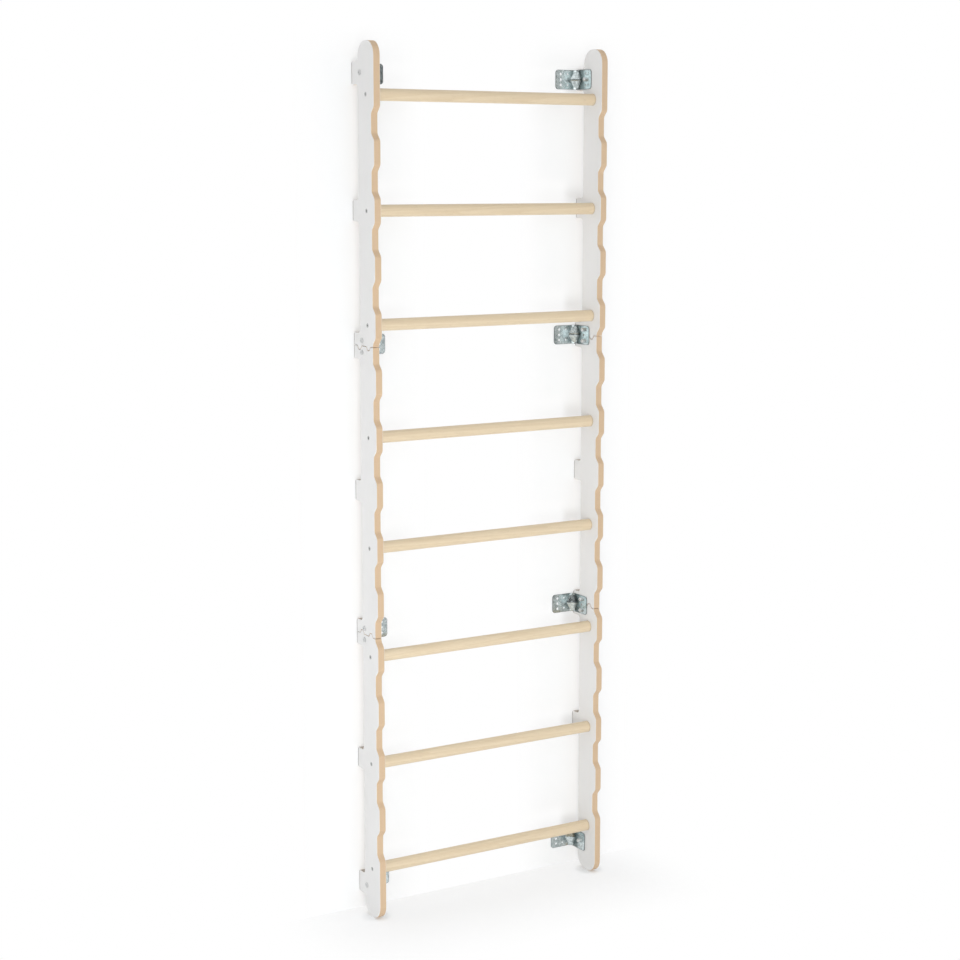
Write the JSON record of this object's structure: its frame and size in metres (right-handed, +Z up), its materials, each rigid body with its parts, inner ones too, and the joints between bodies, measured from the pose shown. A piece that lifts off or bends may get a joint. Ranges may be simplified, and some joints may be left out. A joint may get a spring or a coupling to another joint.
{
  "type": "wall bars",
  "caption": "Wall-mounted climbing ladder: round wooden rungs between two white-faced plywood rails with wavy front edges, held to the wall by ribbed steel angle brackets.",
  "frame": {"origin": "on the wall plane, midway between the two rails and midway up the ladder: the centre of the wall screws' pattern", "axes": "+X to the right seen from the front, +Y into the wall, +Z up; the ladder's front faces -Y"},
  "size_m": [0.6868, 0.115, 2.216],
  "materials": {
    "plywood": "bare sanded edge, clear varnish",
    "white_laminate": "satin white laminate",
    "rung_wood": "turned, sanded, clear varnish",
    "zinc_steel": "zinc-plated sheet with a fine spangle",
    "screw_steel": "dark plated countersunk screw",
    "bolt_steel": "bright zinc-plated",
    "insert_metal": "plain turned"
  },
  "bodies": {
    "root": {"left_top_outer_laminate": "white_laminate", "left_top_core": "plywood", "left_top_inner_laminate": "white_laminate", "left_middle_outer_laminate": "white_laminate", "left_middle_core": "plywood", "left_middle_inner_laminate": "white_laminate", "left_bottom_outer_laminate": "white_laminate", "left_bottom_core": "plywood", "left_bottom_inner_laminate": "white_laminate", "left_top_bracket": "zinc_steel", "left_upper_joint_bracket": "zinc_steel", "left_lower_joint_bracket": "zinc_steel", "left_bottom_bracket": "zinc_steel", "left_rung_screws": "screw_steel", "left_rung_inserts": "insert_metal", "left_bracket_bolts": "bolt_steel", "left_bracket_nuts": "bolt_steel", "right_top_outer_laminate": "white_laminate", "right_top_core": "plywood", "right_top_inner_laminate": "white_laminate", "right_middle_outer_laminate": "white_laminate", "right_middle_core": "plywood", "right_middle_inner_laminate": "white_laminate", "right_bottom_outer_laminate": "white_laminate", "right_bottom_core": "plywood", "right_bottom_inner_laminate": "white_laminate", "right_top_bracket": "zinc_steel", "right_upper_joint_bracket": "zinc_steel", "right_lower_joint_bracket": "zinc_steel", "right_bottom_bracket": "zinc_steel", "right_rung_screws": "screw_steel", "right_rung_inserts": "insert_metal", "right_bracket_bolts": "bolt_steel", "right_bracket_nuts": "bolt_steel", "rung_1": "rung_wood", "rung_2": "rung_wood", "rung_3": "rung_wood", "rung_4": "rung_wood", "rung_5": "rung_wood", "rung_6": "rung_wood", "rung_7": "rung_wood", "rung_8": "rung_wood"}
  },
  "joints": []
}
